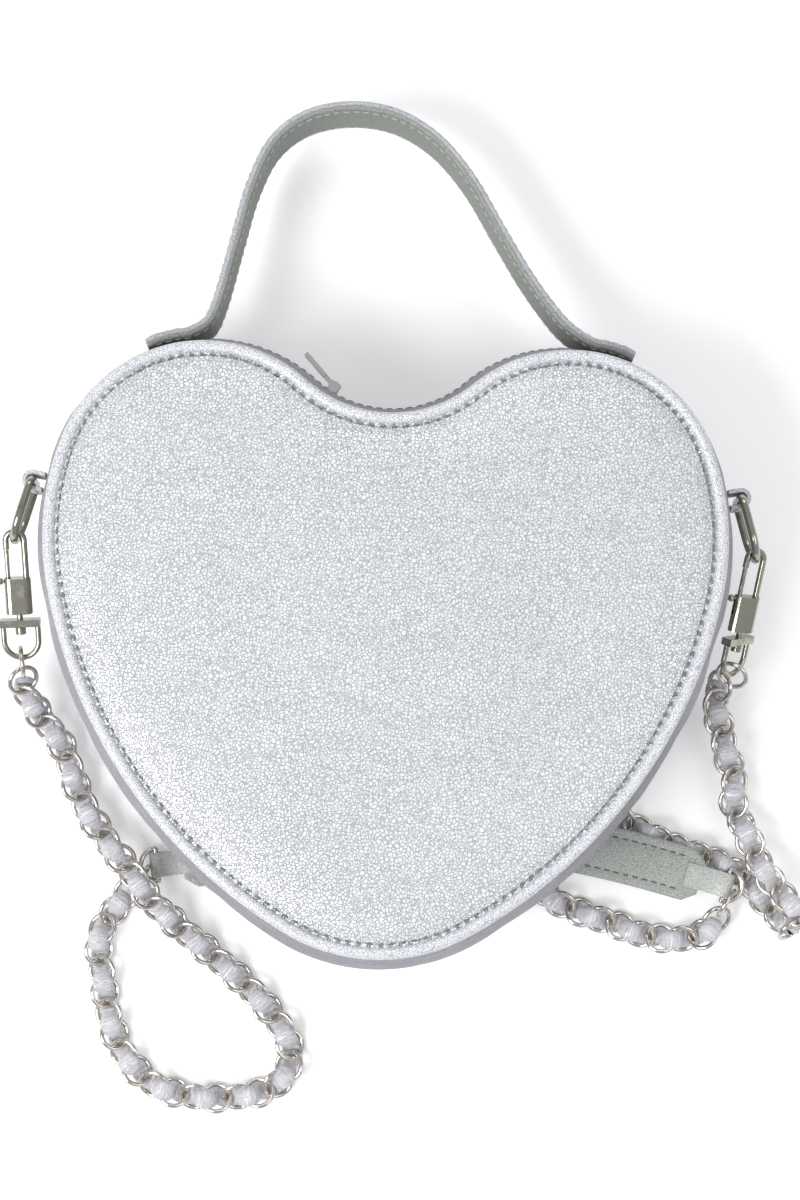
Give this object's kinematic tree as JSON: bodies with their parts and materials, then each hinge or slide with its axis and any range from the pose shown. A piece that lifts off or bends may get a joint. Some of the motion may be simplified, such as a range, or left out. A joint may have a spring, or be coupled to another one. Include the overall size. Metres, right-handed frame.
{
  "type": "heart shaped purse",
  "caption": "Zipped heart shaped leather purse with a flexible top handle and a clip-on strap of chain woven with leather lace, lying on its back.",
  "frame": {"origin": "middle of the base of the box around the bag, its handle and its side rings, on the surface that the purse lies on", "axes": "+X to the right as seen from the front, +Y up the bag towards the handle, +Z out of the heart shaped front, away from the surface"},
  "size_m": [0.2491, 0.3081, 0.0729],
  "materials": {
    "silver_leather": "pebbled metallic silver leather",
    "gusset_leather": "smooth silver grey leather",
    "strap_leather": "flat silver grey leather",
    "lace_leather": "smooth silver leather lace",
    "foam": "closed foam padding",
    "board": "pressed fibre board",
    "lining_cloth": "woven lining cloth",
    "zip_tape": "woven tape",
    "zip_metal": "nickel plated",
    "nickel": "polished nickel plating",
    "chain_nickel": "polished nickel plated wire"
  },
  "bodies": {
    "bag": {"front_panel": "silver_leather", "front_padding": "foam", "front_board": "board", "front_piping": "silver_leather", "gusset": "gusset_leather", "zip_strip_front": "gusset_leather", "zip_strip_back": "gusset_leather", "back_piping": "silver_leather", "back_panel": "silver_leather", "back_board": "board", "lining": "lining_cloth", "zip_tape_front": "zip_tape", "zip_tape_back": "zip_tape", "zip_teeth_front": "zip_metal", "zip_teeth_back": "zip_metal", "zip_stops": "zip_metal", "handle_foot_left": "gusset_leather", "handle_foot_right": "gusset_leather", "tab_left": "gusset_leather", "tab_right": "gusset_leather", "chain_left": "chain_nickel", "chain_right": "chain_nickel", "lace_left": "lace_leather", "lace_right": "lace_leather", "pad_top": "strap_leather", "pad_core": "foam", "pad_bottom": "strap_leather", "pad_loop_left": "strap_leather", "pad_loop_right": "strap_leather", "pad_ring_left": "chain_nickel", "pad_ring_right": "chain_nickel"},
    "handle": {"handle_outer": "silver_leather", "handle_inner": "strap_leather"},
    "slider": {"zip_slider": "zip_metal"},
    "pull": {"zip_pull": "zip_metal"},
    "ring_left": {"ring_left": "nickel"},
    "ring_right": {"ring_right": "nickel"},
    "hook_left": {"hook_left": "nickel"},
    "hook_right": {"hook_right": "nickel"},
    "gate_left": {"gate_left": "nickel"},
    "gate_right": {"gate_right": "nickel"},
    "swivel_left": {"swivel_left": "nickel"},
    "swivel_right": {"swivel_right": "nickel"}
  },
  "joints": [
    {"name": "handle_flex", "type": "hinge", "parent": "bag", "child": "handle", "pos_m": [0, 0.06311, 0.02777], "axis": [1, 0, 0], "range_deg": [-12, 12], "stiffness_Nm_per_rad": 0.6},
    {"name": "slider_run", "type": "hinge", "parent": "bag", "child": "slider", "pos_m": [0, 0.06939, 0.02722], "axis": [0, 0.0872, 0.9962], "range_deg": [0, 70]},
    {"name": "pull_swing", "type": "hinge", "parent": "slider", "child": "pull", "pos_m": [-0.01643, 0.04385, 0.02946], "axis": [0, 0.0872, 0.9962], "range_deg": [-110, 0]},
    {"name": "ring_left_swing", "type": "hinge", "parent": "bag", "child": "ring_left", "pos_m": [-0.10522, 0.01305, 0.03215], "axis": [0, 0.0872, 0.9962], "range_deg": [-8, 8]},
    {"name": "hook_left_swing", "type": "hinge", "parent": "ring_left", "child": "hook_left", "pos_m": [-0.11032, -0.00467, 0.0337], "axis": [0, 0.0872, 0.9962], "range_deg": [-12.4, 12.4]},
    {"name": "gate_left_slide", "type": "slide", "parent": "hook_left", "child": "gate_left", "axis": [0.0574, -0.9642, -0.259], "range_m": [0, 0.0043], "stiffness_N_per_m": 150, "springref_m": -0.002},
    {"name": "swivel_left_turn", "type": "hinge", "parent": "hook_left", "child": "swivel_left", "pos_m": [-0.10893, -0.0281, 0.02741], "axis": [-0.0574, 0.9642, 0.259], "range_deg": [-20, 20]},
    {"name": "ring_right_swing", "type": "hinge", "parent": "bag", "child": "ring_right", "pos_m": [0.10522, 0.01305, 0.03215], "axis": [0, 0.0872, 0.9962], "range_deg": [-3, 8]},
    {"name": "hook_right_swing", "type": "hinge", "parent": "ring_right", "child": "hook_right", "pos_m": [0.11032, -0.00467, 0.0337], "axis": [0, 0.0872, 0.9962], "range_deg": [-12.4, 4.7]},
    {"name": "gate_right_slide", "type": "slide", "parent": "hook_right", "child": "gate_right", "axis": [-0.147, -0.9544, -0.2598], "range_m": [0, 0.0043], "stiffness_N_per_m": 150, "springref_m": -0.002},
    {"name": "swivel_right_turn", "type": "hinge", "parent": "hook_right", "child": "swivel_right", "pos_m": [0.10675, -0.02786, 0.02739], "axis": [0.147, 0.9544, 0.2598], "range_deg": [-20, 20]}
  ],
  "couplings": [
    {"joint": "hook_left_swing", "follows": "ring_left_swing", "ratio": -1.5337},
    {"joint": "hook_right_swing", "follows": "ring_right_swing", "ratio": -1.5275}
  ]
}
